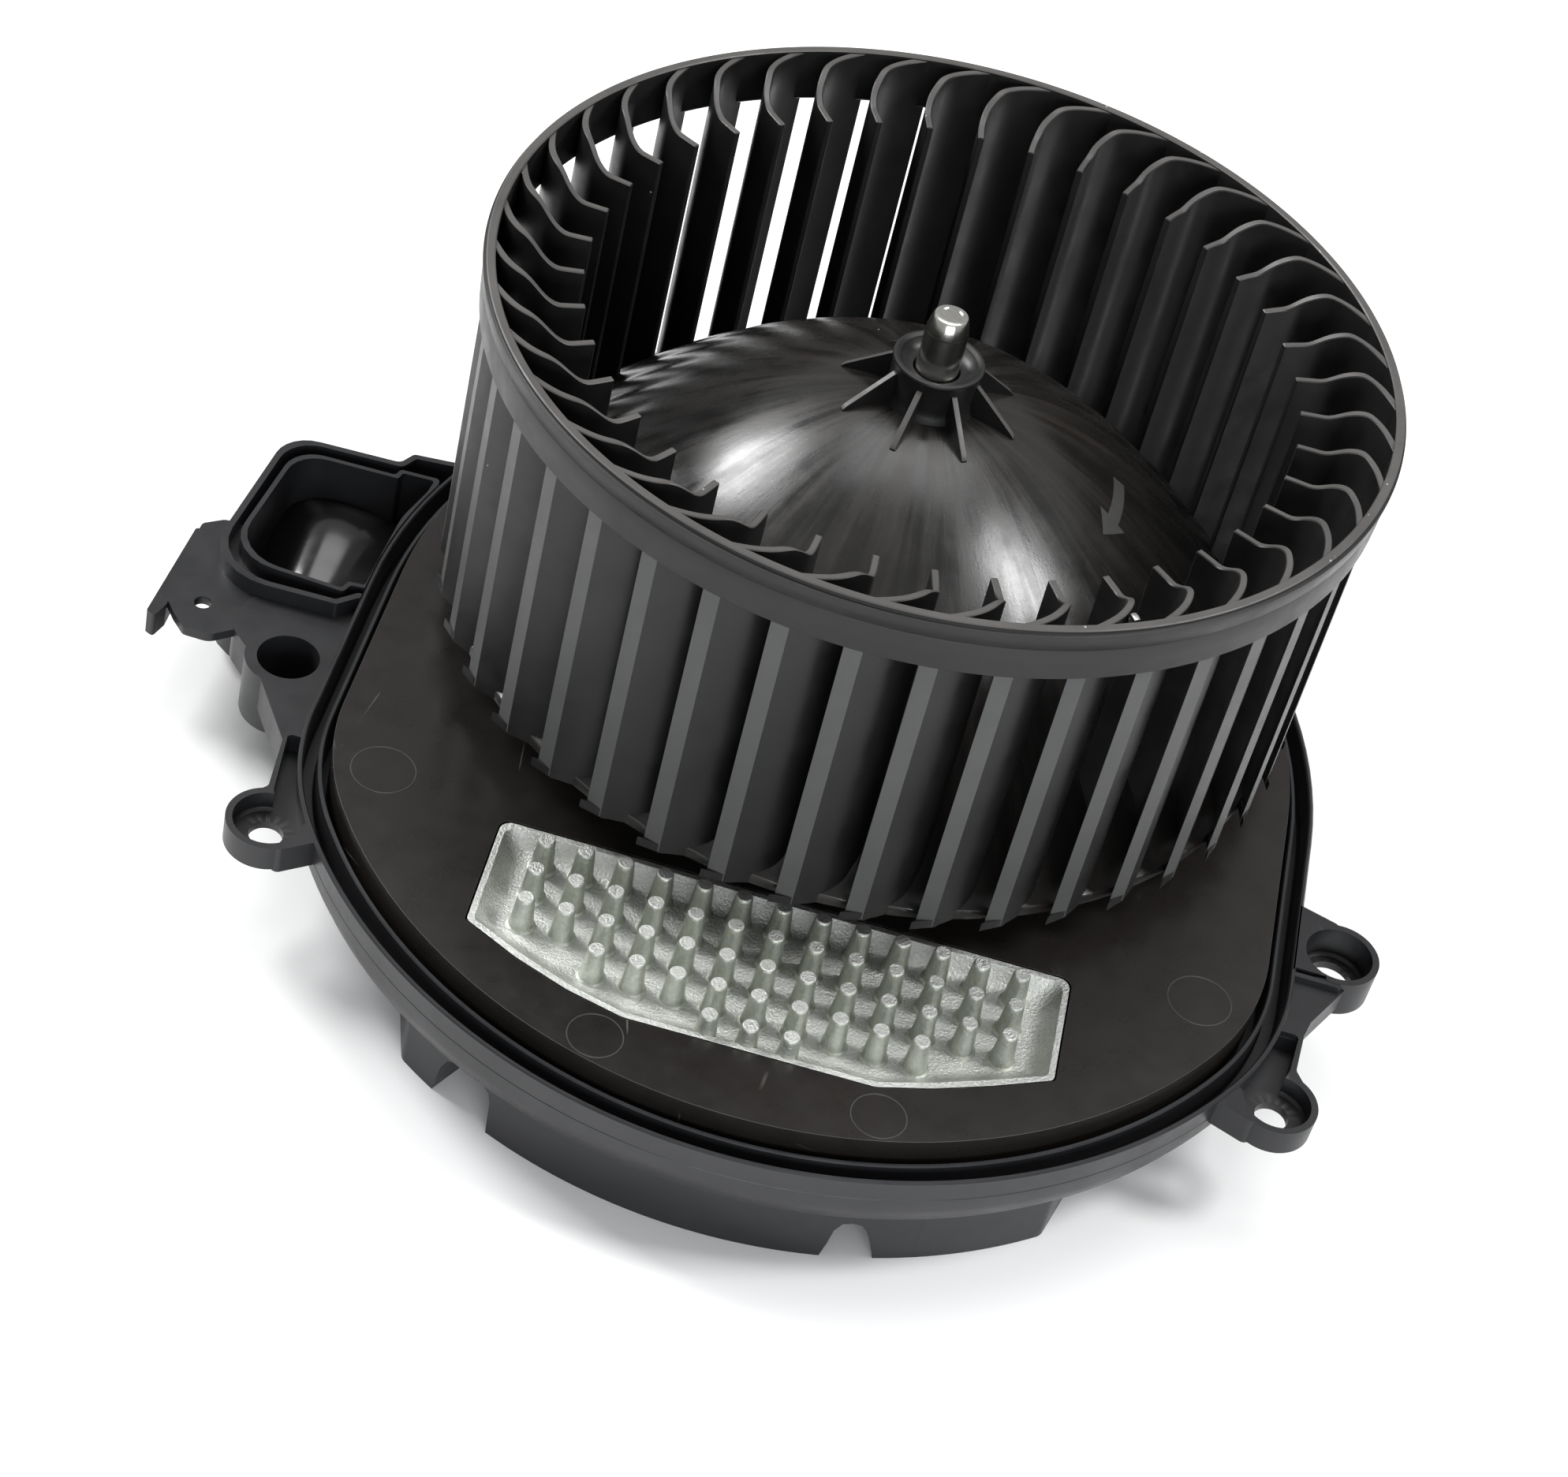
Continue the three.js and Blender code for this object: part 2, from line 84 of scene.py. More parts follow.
# flange from above: half an ellipse at the back, an arc at each side and one in front
BACK_X = 79.0
BACK_Y = 86.0
BACK_MID = -14.0
SIDE_R = 45.0
SIDE_X = 34.0
SIDE_Y = -49.0
FRONT_R = 84.7
FRONT_Y = -28.5
# flange heights and the pieces in it
LIP_Z = 23.5
GROOVE_Z = 17.0
PLATE_Z = 27.0
PLATE_LOW = 24.4
SKIRT_LOW = 12.3
LUG_LOW = 17.9
LUG_TOP = 23.1
LUG_WALL = 1.15
LUG_FLOOR_T = 1.5
LUG_HOLE_R = 2.8
WELL_R = 44.0
SINK_LOW = 20.6
SINK_FLOOR = 24.0
SINK_ROUND = 2.2
PIN_ROWS = (13, 13, 13, 9, 3)
PIN_TOP = 30.5
PIN_STEP_X = 6.55
PIN_STEP_Y = 6.65
PIN_BACK_Y = -70.6
DUCT_LOW = 4.0
DUCT_WALL = 1.15
BOSS_TOP = 20.5
BRACKET_TOP = 20.2
RECESS_AT = (-92.0, -35.6)
SCOOP_LOW = 4.5
COVER_BASE = 10.2
# far outside every piece, for cutters that run right through
ABOVE = 40
BELOW = -1


# ---------------------------------------------------------------- mesh helpers
def polar(radius, degrees):
    angle = math.radians(degrees)
    return radius * math.cos(angle), radius * math.sin(angle)


def arc(cx, cy, radius, start, end, steps):
    points = []
    for i in range(steps + 1):
        x, y = polar(radius, start + (end - start) * i / steps)
        points.append((cx + x, cy + y))
    return points


def smoothstep(low, high, value):
    t = min(1.0, max(0.0, (value - low) / (high - low)))
    return t * t * (3 - 2 * t)


def shape(name, verts, faces, kinds=None):
    """A mesh object from millimetre points; kinds gives each face's material number."""
    mesh = bpy.data.meshes.new(name)
    mesh.from_pydata([(x * MM, y * MM, z * MM) for x, y, z in verts], [], faces)
    mesh.update()
    if kinds:
        mesh.polygons.foreach_set("material_index", kinds)
    obj = bpy.data.objects.new(name, mesh)
    bpy.context.scene.collection.objects.link(obj)
    work = bmesh.new()
    work.from_mesh(mesh)
    bmesh.ops.recalc_face_normals(work, faces=work.faces)
    work.to_mesh(mesh)
    work.free()
    return obj


def lathe(name, profile, segments=128, centre=(0.0, 0.0)):
    """A closed solid turned about a vertical line from a closed loop of (radius, z) points."""
    verts, rings, faces = [], [], []
    for radius, z in profile:
        count = 1 if radius < 1e-6 else segments
        rings.append([len(verts) + i for i in range(count)])
        for i in range(count):
            x, y = polar(radius, 360.0 * i / segments)
            verts.append((centre[0] + x, centre[1] + y, z))
    for here, there in zip(rings, rings[1:] + rings[:1]):
        if len(here) == 1 and len(there) == 1:
            continue
        for i in range(segments):
            j = (i + 1) % segments
            corners = [here[i % len(here)], here[j % len(here)], there[j % len(there)], there[i % len(there)]]
            face = list(dict.fromkeys(corners))
            if len(face) > 2:
                faces.append(face)
    return shape(name, verts, faces)


def band_faces(levels, count, closed=False):
    """Faces between neighbouring loops of count points; closed joins the last loop to the first."""
    faces = []
    for k in range(levels if closed else levels - 1):
        after = (k + 1) % levels
        for i in range(count):
            j = (i + 1) % count
            faces.append([k * count + i, k * count + j, after * count + j, after * count + i])
    return faces


def sweep(name, loops):
    """A closed ring through equal-length loops of (x, y, z) points, in order round the cross-section."""
    verts = [point for loop in loops for point in loop]
    return shape(name, verts, band_faces(len(loops), len(loops[0]), closed=True))


def loft(name, loops, kinds=None):
    """A solid through equal-length loops of (x, y, z) points, capped by the first and the last."""
    count = len(loops[0])
    verts = [point for loop in loops for point in loop]
    caps = [list(range(count))[::-1], list(range(len(verts) - count, len(verts)))]
    return shape(name, verts, caps + band_faces(len(loops), count), kinds)


def prism(name, outline, low, high):
    return loft(name, [[(x, y, z) for x, y in outline] for z in (low, high)])


def block(name, x0, x1, y0, y1, low, high):
    return prism(name, [(x0, y0), (x1, y0), (x1, y1), (x0, y1)], low, high)


def slab(name, top, bottom, row):
    """A closed sheet between two grids of points, each grid in lines of row points."""
    lines, under = len(top) // row, len(top)
    faces = []
    for i in range(lines - 1):
        for j in range(row - 1):
            a = i * row + j
            faces.append([a, a + 1, a + row + 1, a + row])
            faces.append([under + a, under + a + row, under + a + row + 1, under + a + 1])
    rim = list(range(row)) + [i * row + row - 1 for i in range(1, lines)]
    rim += [(lines - 1) * row + j for j in range(row - 2, -1, -1)]
    rim += [i * row for i in range(lines - 2, 0, -1)]
    for a, b in zip(rim, rim[1:] + rim[:1]):
        faces.append([a, b, under + b, under + a])
    return shape(name, top + bottom, faces)


def settle(obj):
    """Turns an object's modifiers into plain mesh."""
    graph = bpy.context.evaluated_depsgraph_get()
    solved = obj.evaluated_get(graph)
    mesh = bpy.data.meshes.new_from_object(solved, preserve_all_data_layers=True, depsgraph=graph)
    obj.modifiers.clear()
    old = obj.data
    obj.data = mesh
    bpy.data.meshes.remove(old)
    mesh.name = obj.name
    return obj


def combine(target, tools, operation):
    for tool in tools:
        step = target.modifiers.new(operation, "BOOLEAN")
        step.operation = operation
        step.solver = "MANIFOLD"
        step.object = tool
        settle(target)
        mesh = tool.data
        bpy.data.objects.remove(tool)
        bpy.data.meshes.remove(mesh)
    return target


def join(target, *tools):
    return combine(target, tools, "UNION")


def cut(target, *tools):
    return combine(target, tools, "DIFFERENCE")


def pack(name, parts):
    """One object from several, without joining their surfaces."""
    work = bmesh.new()
    for part in parts:
        work.from_mesh(part.data)
    mesh = bpy.data.meshes.new(name)
    work.to_mesh(mesh)
    work.free()
    for part in parts:
        old = part.data
        bpy.data.objects.remove(part)
        bpy.data.meshes.remove(old)
    obj = bpy.data.objects.new(name, mesh)
    bpy.context.scene.collection.objects.link(obj)
    return obj


BEVEL_ANGLE = math.radians(38)
NORMAL_WEIGHT = 80


def dress(obj, body, materials, replaces=(), bevel=0.0, sharp=32.0, segments=2, edge=-1):
    """Bevels, shades, paints and mounts a finished piece."""
    if bevel:
        step = obj.modifiers.new("edges", "BEVEL")
        step.width = bevel * MM
        step.segments = segments
        step.limit_method = "ANGLE"
        step.angle_limit = BEVEL_ANGLE
        step.use_clamp_overlap = True
        step.material = edge
        for material in materials:
            obj.data.materials.append(material)
        settle(obj)
    mesh = obj.data
    kinds = [min(face.material_index, len(materials) - 1) for face in mesh.polygons]
    mesh.materials.clear()
    for material in materials:
        mesh.materials.append(material)
    mesh.polygons.foreach_set("material_index", kinds)
    mesh.polygons.foreach_set("use_smooth", [True] * len(mesh.polygons))
    mesh.set_sharp_from_angle(angle=math.radians(sharp))
    if bevel:
        step = obj.modifiers.new("normals", "WEIGHTED_NORMAL")
        step.keep_sharp = True
        step.weight = NORMAL_WEIGHT
        settle(obj)
    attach(obj, body)
    if replaces:
        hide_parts(*replaces)
    return obj


# ---------------------------------------------------------------- materials
class Nodes:
    """A short way to write a node material."""

    def __init__(self, name):
        self.material = bpy.data.materials.new(name)
        self.material.use_nodes = True
        self.tree = self.material.node_tree
        self.shader = self.tree.nodes["Principled BSDF"]
        self.place = self.add("ShaderNodeTexCoord").outputs["Object"]

    def add(self, kind, **settings):
        node = self.tree.nodes.new(kind)
        for key, value in settings.items():
            setattr(node, key, value)
        return node

    def wire(self, source, target):
        self.tree.links.new(source, target)

    def stretched(self, scale):
        node = self.add("ShaderNodeMapping")
        self.wire(self.place, node.inputs["Vector"])
        node.inputs["Scale"].default_value = scale
        return node.outputs["Vector"]

    def spokes(self, around, outwards):
        """Coordinates whose first axis goes round the wheel's axis and second goes outwards."""
        split = self.add("ShaderNodeSeparateXYZ")
        self.wire(self.place, split.inputs["Vector"])
        x, y = split.outputs["X"], split.outputs["Y"]
        angle = self.math("ARCTAN2", y, x)
        squares = self.math("ADD", self.math("MULTIPLY", x, x), self.math("MULTIPLY", y, y))
        reach = self.math("SQRT", squares, 0.0)
        joined = self.add("ShaderNodeCombineXYZ")
        self.wire(self.math("MULTIPLY", self.math("ABSOLUTE", angle, 0.0), around), joined.inputs["X"])
        self.wire(self.math("MULTIPLY", reach, outwards), joined.inputs["Y"])
        self.wire(self.math("SIGN", angle, 0.0), joined.inputs["Z"])
        return joined.outputs["Vector"]

    def noise(self, scale, detail, rough, vector=None):
        node = self.add("ShaderNodeTexNoise")
        self.wire(vector or self.place, node.inputs["Vector"])
        node.inputs["Scale"].default_value = scale
        node.inputs["Detail"].default_value = detail
        node.inputs["Roughness"].default_value = rough
        return node.outputs["Fac"]

    def cells(self, scale, feature="F1", vector=None):
        node = self.add("ShaderNodeTexVoronoi", feature=feature)
        self.wire(vector or self.place, node.inputs["Vector"])
        node.inputs["Scale"].default_value = scale
        return node.outputs["Distance"]

    def span(self, value, low, high, to_low=0.0, to_high=1.0):
        node = self.add("ShaderNodeMapRange")
        self.wire(value, node.inputs["Value"])
        node.inputs["From Min"].default_value = low
        node.inputs["From Max"].default_value = high
        node.inputs["To Min"].default_value = to_low
        node.inputs["To Max"].default_value = to_high
        return node.outputs["Result"]

    def math(self, operation, a, b):
        node = self.add("ShaderNodeMath", operation=operation)
        for socket, value in zip(node.inputs, (a, b)):
            if isinstance(value, (int, float)):
                socket.default_value = value
            else:
                self.wire(value, socket)
        return node.outputs[0]

    def mix(self, factor, a, b):
        """Colour a where the factor is 0 and b where it is 1; a colour is a tuple or a socket."""
        node = self.add("ShaderNodeMix", data_type="RGBA")
        self.wire(factor, node.inputs[0])
        for socket, value in ((node.inputs[6], a), (node.inputs[7], b)):
            if isinstance(value, tuple):
                socket.default_value = (*value, 1.0)
            else:
                self.wire(value, socket)
        return node.outputs[2]

    def bump(self, height, strength, depth, below=None):
        node = self.add("ShaderNodeBump")
        self.wire(height, node.inputs["Height"])
        node.inputs["Strength"].default_value = strength
        node.inputs["Distance"].default_value = depth * MM
        if below is not None:
            self.wire(below, node.inputs["Normal"])
        return node.outputs["Normal"]

    def finish(self, color, rough, normal=None, metallic=0.0, specular=0.5):
        for name, source in (("Base Color", color), ("Roughness", rough), ("Normal", normal)):
            if source is not None:
                self.wire(source, self.shader.inputs[name])
        self.shader.inputs["Metallic"].default_value = metallic
        self.shader.inputs["Specular IOR Level"].default_value = specular
        return self.material


DUST = (0.34, 0.33, 0.31)
SCUFF = (0.2, 0.19, 0.18)
# Lighter brown for the dome's radial streaks: painted sheen.
PAINTED_SHEEN_STREAK = (0.022, 0.018, 0.015)


def plastic(name, dark, light, rough, grain, mottling, dust=0.0, scratches=0.0, specular=0.5, waves=0.0,
            streaks=0.0):
    """Moulded plastic: mottled tone, fine grain, and optional specks, scuffs, flow waves and radial streaks,
    whose lighter brown colour is painted sheen.
    """
    n = Nodes(name)
    tone = n.span(n.noise(mottling, 5, 0.62), 0.32, 0.7)
    fine = n.noise(2400, 3, 0.7)
    blend = n.math("ADD", n.math("MULTIPLY", tone, 0.75), n.math("MULTIPLY", fine, 0.25))
    color = n.mix(blend, dark, light)
    roughness = n.span(n.noise(160, 6, 0.65), 0.3, 0.7, rough[0], rough[1])
    if dust:
        spots = n.math("LESS_THAN", n.cells(520), 0.1)
        gate = n.math("GREATER_THAN", n.noise(210, 2, 0.5), 1 - dust)
        speck = n.math("MULTIPLY", spots, gate)
        color = n.mix(speck, color, DUST)
        roughness = n.math("ADD", roughness, n.math("MULTIPLY", speck, 0.3))
    if scratches:
        lines = n.cells(38, "DISTANCE_TO_EDGE", n.stretched((1.0, 0.35, 1.0)))
        thin = n.math("LESS_THAN", lines, 0.0035)
        gate = n.span(n.noise(44, 3, 0.6), 0.55, 0.68)
        mark = n.math("MULTIPLY", n.math("MULTIPLY", thin, gate), scratches)
        color = n.mix(mark, color, SCUFF)
    normal = n.bump(fine, grain, 0.06)
    # Radial streaks: rougher, bumped surface texture, with a lighter brown colour that is painted sheen.
    if streaks:
        rays = n.noise(1.0, 6, 0.6, n.spokes(9.0, 24.0))
        color = n.mix(n.span(rays, 0.42, 0.7, 0.0, 0.6), color, PAINTED_SHEEN_STREAK)
        roughness = n.math("ADD", roughness, n.span(rays, 0.35, 0.7, -0.06, 0.12))
        normal = n.bump(rays, streaks, 0.5, normal)
    if waves:
        normal = n.bump(n.noise(70, 2, 0.5), waves, 0.6, normal)
    return n.finish(color, roughness, normal, specular=specular)


def metal(name, dark, light, rough, grain_scale, grain, stretch=None, bands=0.0):
    """Metal with mottled tone and a grain that may run one way."""
    n = Nodes(name)
    vector = n.stretched(stretch) if stretch else None
    tone = n.span(n.noise(55, 5, 0.65), 0.3, 0.72)
    fine = n.span(n.noise(grain_scale, 4, 0.65, vector), 0.34, 0.66)
    color = n.mix(n.math("ADD", n.math("MULTIPLY", tone, 0.6), n.math("MULTIPLY", fine, 0.4)), dark, light)
    roughness = n.span(n.noise(240, 5, 0.6, vector), 0.3, 0.72, rough[0], rough[1])
    normal = n.bump(fine, grain, 0.08)
    if bands:
        normal = n.bump(n.noise(grain_scale / 5, 3, 0.6), bands, 0.2, normal)
    return n.finish(color, roughness, normal, metallic=1.0)


# plastics: name, dark and light tone, lowest and highest roughness, strength of grain, scale of mottling
WHEEL = plastic("wheel_plastic", (0.005, 0.005, 0.005), (0.012, 0.0115, 0.0115), (0.34, 0.5), 0.16, 40,
                dust=0.28, specular=0.42)
WHEEL_EDGE = plastic("wheel_edge_plastic", (0.040, 0.038, 0.036), (0.075, 0.071, 0.067), (0.4, 0.58), 0.2, 60,
                     dust=0.42)
WHEEL_STRIP = plastic("wheel_strip_plastic", (0.046, 0.047, 0.047), (0.068, 0.068, 0.067), (0.4, 0.54),
                      0.14, 45, dust=0.3)
DOME = plastic("dome_plastic", (0.005, 0.005, 0.005), (0.012, 0.011, 0.010), (0.2, 0.3), 0.2, 30,
               dust=0.22, specular=0.55, streaks=0.07)
ARROW = plastic("arrow_plastic", (0.024, 0.024, 0.023), (0.04, 0.039, 0.038), (0.5, 0.62), 0.2, 90)
PLATE = plastic("plate_plastic", (0.008, 0.007, 0.0062), (0.016, 0.0135, 0.012), (0.24, 0.36), 0.12, 18,
                dust=0.25, scratches=0.7, specular=0.42, waves=0.05)
# Lighter grey laid on bevel faces and ejector rings: a painted highlight along edges.
PAINTED_EDGE_HIGHLIGHT = plastic("painted_edge_highlight", (0.034, 0.034, 0.035), (0.058, 0.058, 0.06), (0.26, 0.36), 0.1, 60,
               specular=0.55)
TRAY = plastic("tray_plastic", (0.009, 0.0092, 0.0101), (0.0175, 0.018, 0.0202), (0.3, 0.44), 0.12, 24,
               dust=0.2, specular=0.45)
DUCT_INSIDE = plastic("duct_plastic", (0.004, 0.0036, 0.0036), (0.009, 0.008, 0.008), (0.12, 0.2), 0.06, 30,
                      specular=0.7)
FERRITE = plastic("ferrite_dull", (0.05, 0.05, 0.052), (0.09, 0.09, 0.094), (0.6, 0.75), 0.4, 80)
BOARD = plastic("board_laminate", (0.012, 0.07, 0.03), (0.02, 0.12, 0.05), (0.3, 0.44), 0.15, 120)
CHIP = plastic("chip_epoxy", (0.014, 0.014, 0.015), (0.03, 0.03, 0.032), (0.42, 0.55), 0.25, 120)
RUBBER = plastic("mount_rubber", (0.012, 0.012, 0.012), (0.024, 0.024, 0.024), (0.7, 0.85), 0.4, 90)
# metals: name, dark and light tone, lowest and highest roughness, scale, strength and stretch of grain
CAST = metal("cast_alloy", (0.42, 0.43, 0.405), (0.76, 0.77, 0.745), (0.4, 0.58), 2000, 1.0, bands=0.2)
# A darker copy of the cast alloy for the pin sides: painted shade.
PIN_SIDE_SHADE = metal("pin_alloy_painted_shade", (0.38, 0.40, 0.355), (0.56, 0.58, 0.525), (0.42, 0.58), 1500, 0.6)
SHAFT = metal("shaft_steel", (0.50, 0.50, 0.47), (0.70, 0.69, 0.64), (0.14, 0.26), 900, 0.12,
              (1.0, 1.0, 0.08))
STEEL = metal("plain_steel", (0.42, 0.42, 0.41), (0.6, 0.6, 0.58), (0.26, 0.42), 700, 0.2)
LAMINATION = metal("lamination_steel", (0.2, 0.2, 0.21), (0.34, 0.34, 0.35), (0.38, 0.55), 1600, 0.5,
                   (0.1, 0.1, 1.0))
COPPER = metal("copper_winding", (0.42, 0.15, 0.05), (0.72, 0.32, 0.13), (0.22, 0.38), 1500, 0.8,
               (0.2, 0.2, 1.0))
CAN = metal("can_sleeve", (0.2, 0.22, 0.28), (0.34, 0.37, 0.44), (0.3, 0.42), 500, 0.1)


# ---------------------------------------------------------------- wheel
def dome_z(radius):
    """Height of the dome's upper face, which turns into the flatter foot plate near its edge."""
    run = max(0.0, radius - DOME_FLAT_R) / (DOME_END_R - DOME_FLAT_R)
    z = DOME_TOP - DOME_DROP * run ** DOME_CURVE
    if radius > FOOT_INNER_R:
        z = max(z, FOOT_LOW + DOME_WALL + (FOOT_R - radius) * FOOT_SLOPE)
    return z


def lag_at(radius):
    """Angle by which the blade's centreline trails its tip: a smooth curve through BLADE_LINE."""
    line = BLADE_LINE
    if radius <= BLADE_TIP_R:
        return line[0][1]
    last = len(line) - 2
    k = next((i for i in range(last) if radius <= line[i + 1][0]), last)
    (r0, a0), (r1, a1) = line[k], line[k + 1]
    before = line[k - 1] if k else (2 * r0 - r1, 2 * a0 - a1)
    after = line[k + 2] if k < last else (2 * r1 - r0, 2 * a1 - a0)
    h = r1 - r0
    m0 = (a1 - before[1]) / (r1 - before[0])
    m1 = (after[1] - a0) / (after[0] - r0)
    t = (radius - r0) / h
    return ((2 * t**3 - 3 * t**2 + 1) * a0 + (t**3 - 2 * t**2 + t) * h * m0
            + (3 * t**2 - 2 * t**3) * a1 + (t**3 - t**2) * h * m1)


def side_lines(thickness, end_radius, steps=26):
    """Both faces of a blade in plan, from its tip to the cylinder that ends it, in equal steps."""
    last = 60
    reach = end_radius + 1.0 - BLADE_TIP_R
    centre = [Vector(polar(r, lag_at(r))) for r in (BLADE_TIP_R + reach * i / last for i in range(last + 1))]
    sides = []
    for sign in (1.0, -1.0):
        line = []
        for i, point in enumerate(centre):
            along = centre[min(i + 1, last)] - centre[max(i - 1, 0)]
            along.normalize()
            line.append(point + Vector((-along.y, along.x)) * sign * thickness / 2)
        kept = [line[0]]
        for a, b in zip(line, line[1:]):
            if b.length >= end_radius:
                t = (end_radius - a.length) / (b.length - a.length)
                kept.append(a.lerp(b, t))
                break
            kept.append(b)
        lengths = [0.0]
        for a, b in zip(kept, kept[1:]):
            lengths.append(lengths[-1] + (b - a).length)
        even = []
        for s in range(steps + 1):
            want = lengths[-1] * s / steps
            k = max(i for i in range(len(lengths)) if lengths[i] <= want + 1e-9)
            k = min(k, len(kept) - 2)
            t = (want - lengths[k]) / (lengths[k + 1] - lengths[k])
            even.append(kept[k].lerp(kept[k + 1], t))
        sides.append(even)
    return sides


def blade_top(radius):
    return BLADE_TIP_TOP + BLADE_RISE * smoothstep(63.0, 70.0, radius)


def blade_low(radius):
    if radius > FOOT_R - 0.5:
        return FOOT_LOW + 0.05
    return dome_z(radius) - 1.1


def make_blades():
    """All the blades as one piece; kind 1 is the upper edge and kind 2 the outer end."""
    left, right = side_lines(BLADE_T, BLADE_END_R)
    count = len(left)
    verts, faces, kinds = [], [], []
    for k in range(BLADES):
        turn = Matrix.Rotation(math.radians(BLADE_PHASE - k * PITCH), 2)
        base = len(verts)
        for line in (left, right):
            for height in (blade_low, blade_top):
                for point in line:
                    p = turn @ point
                    verts.append((p.x, p.y, height(point.length)))
        low_l, top_l, low_r, top_r = (base + i * count for i in range(4))
        for i in range(count - 1):
            faces.append([low_l + i, low_l + i + 1, top_l + i + 1, top_l + i])
            faces.append([low_r + i, top_r + i, top_r + i + 1, low_r + i + 1])
            faces.append([top_l + i, top_l + i + 1, top_r + i + 1, top_r + i])
            faces.append([low_l + i, low_r + i, low_r + i + 1, low_l + i + 1])
            kinds += [0, 0, 1, 0]
        last = count - 1
        faces.append([low_l, top_l, top_r, low_r])
        faces.append([low_l + last, low_r + last, top_r + last, top_l + last])
        kinds += [0, 2]
    return shape("wheel_blades", verts, faces, kinds)


def make_tails():
    """The pointed ends of the foot plate, one under each blade."""
    outline = [(71.5, -3.6), (72.4, -4.6), (74.3, -6.7), (74.6, -8.1), (75.1, -9.9), (73.9, -8.3),
               (73.0, -7.2), (71.5, -5.6)]
    parts = []
    for k in range(BLADES):
        turn = BLADE_PHASE - k * PITCH
        parts.append(prism("tail", [polar(r, a + turn) for r, a in outline], FOOT_LOW, FOOT_LOW + TAIL_T))
    return pack("wheel_tails", parts)


def paint_tops(obj, low, upright):
    """Gives material 1 to the faces above low that look up or down, and material 0 to the others."""
    tops = [face.center.z > low * MM and abs(face.normal.z) > upright for face in obj.data.polygons]
    obj.data.polygons.foreach_set("material_index", [int(top) for top in tops])
    return obj


def make_rim():
    """The band round the blades' upper ends, a little wider at the top."""
    profile = [(73.8, 90.3), (74.0, RIM_LOW), (74.9, RIM_LOW), (75.15, 90.25), (75.3, 93.0), (75.38, 95.9),
               (75.32, 96.05), (75.42, 96.2), (75.75, 98.8), (75.7, 99.1), (75.25, 99.25), (75.2, 99.4),
               (75.3, 99.85), (75.1, WHEEL_TOP), (74.0, WHEEL_TOP), (73.8, 99.8)]
    return paint_tops(lathe("wheel_rim", profile, BLADES * 8), WHEEL_TOP - 0.3, 0.7)


def flute(radius, degrees):
    """Height of the shallow flutes that run from the blades' inner ends up the dome."""
    depth = FLUTE_DEPTH * smoothstep(36.0, 58.0, radius) * (1.0 - 0.6 * smoothstep(60.0, 72.0, radius))
    phase = math.radians((degrees - BLADE_PHASE - lag_at(radius)) * BLADES)
    return depth * (math.cos(phase) - 0.175 * math.cos(2 * phase))


def make_dome():
    """The dome's fluted upper face out to the foot plate, and its plain underside."""
    segments = BLADES * 16
    first, last, steps = HUB_R - 0.4, FOOT_R - 0.15, 66
    profile = [(first + (last - first) * i / steps, None) for i in range(steps + 1)]
    profile += [(FOOT_R, 36.7), (FOOT_R, FOOT_LOW + 0.2), (FOOT_R - 0.2, FOOT_LOW), (71.5, FOOT_LOW)]
    profile += [(r, dome_z(r) - DOME_WALL) for r in (68.0, 64.0, 58.0, 50.0, 42.0, 34.0, 26.0, 18.0, 9.5)]
    profile += [(9.5, 70.2), (SHAFT_R + 0.3, 70.2), (SHAFT_R + 0.3, 82.0)]
    loops = []
    for radius, plain_z in profile:
        loop = []
        for i in range(segments):
            degrees = 360.0 * i / segments
            z = dome_z(radius) + flute(radius, degrees) if plain_z is None else plain_z
            loop.append((*polar(radius, degrees), z))
        loops.append(loop)
    return sweep("wheel_dome", loops)


def make_boss():
    """The hub's collar round the shaft, with a dished top."""
    bore = SHAFT_R + 0.35
    profile = [(bore, HUB_LOW), (8.6, HUB_LOW), (8.2, 82.9), (7.6, 83.8), (7.25, 85.2), (7.45, 89.4),
               (7.7, 90.2), (7.6, 90.5), (7.1, 90.6), (6.5, 90.3), (6.0, 89.4), (5.2, 88.7), (4.4, 88.5),
               (4.0, 88.6), (bore, 88.4)]
    return lathe("wheel_boss", profile, 96)


def make_ribs():
    """The thin gussets between the hub and the dome."""
    inner, end, bend = 5.6, 15.6, 15.0
    section = [(inner, HUB_LOW + 0.2), (end, dome_z(end) - 0.5), (end, dome_z(end) + 0.25),
               (bend, dome_z(bend) + 0.75), (7.6, RIB_TOP), (inner, RIB_TOP)]
    upper_sides = (2, 3, 4)
    kinds = [0, 0] + [1 if i in upper_sides else 0 for i in range(len(section))]
    parts = []
    for k in range(RIBS):
        turn = Matrix.Rotation(math.radians(-12.5 + 360 / RIBS * k), 3, "Z")
        loops = [[tuple(turn @ Vector((r, side, z))) for r, z in section] for side in (-RIB_T / 2, RIB_T / 2)]
        parts.append(loft("rib", loops, kinds))
    return pack("wheel_ribs", parts)


def arrow_span(degrees):
    """The arrow's inner and outer radius at an azimuth; its head points clockwise."""
    if degrees > ARROW_NECK:
        return 33.9, 36.1
    point = (ARROW_NECK - degrees) / 7.9
    return 32.3 + 2.4 * point, 37.5 - 2.7 * point


def make_arrow():
    """The turning-direction arrow moulded on the dome, following its flutes."""
    along = [10.5 - 17.2 * i / 24 for i in range(25)] + [ARROW_NECK - 0.01 - 7.8 * i / 14 for i in range(15)]
    wide = 5
    top, bottom = [], []
    for points, lift in ((top, 0.14), (bottom, -0.3)):
        for degrees in along:
            inner, outer = arrow_span(degrees)
            for j in range(wide + 1):
                radius = inner + (outer - inner) * j / wide
                points.append((*polar(radius, degrees), dome_z(radius) + flute(radius, degrees) + lift))
    return slab("wheel_arrow", top, bottom, wide + 1)


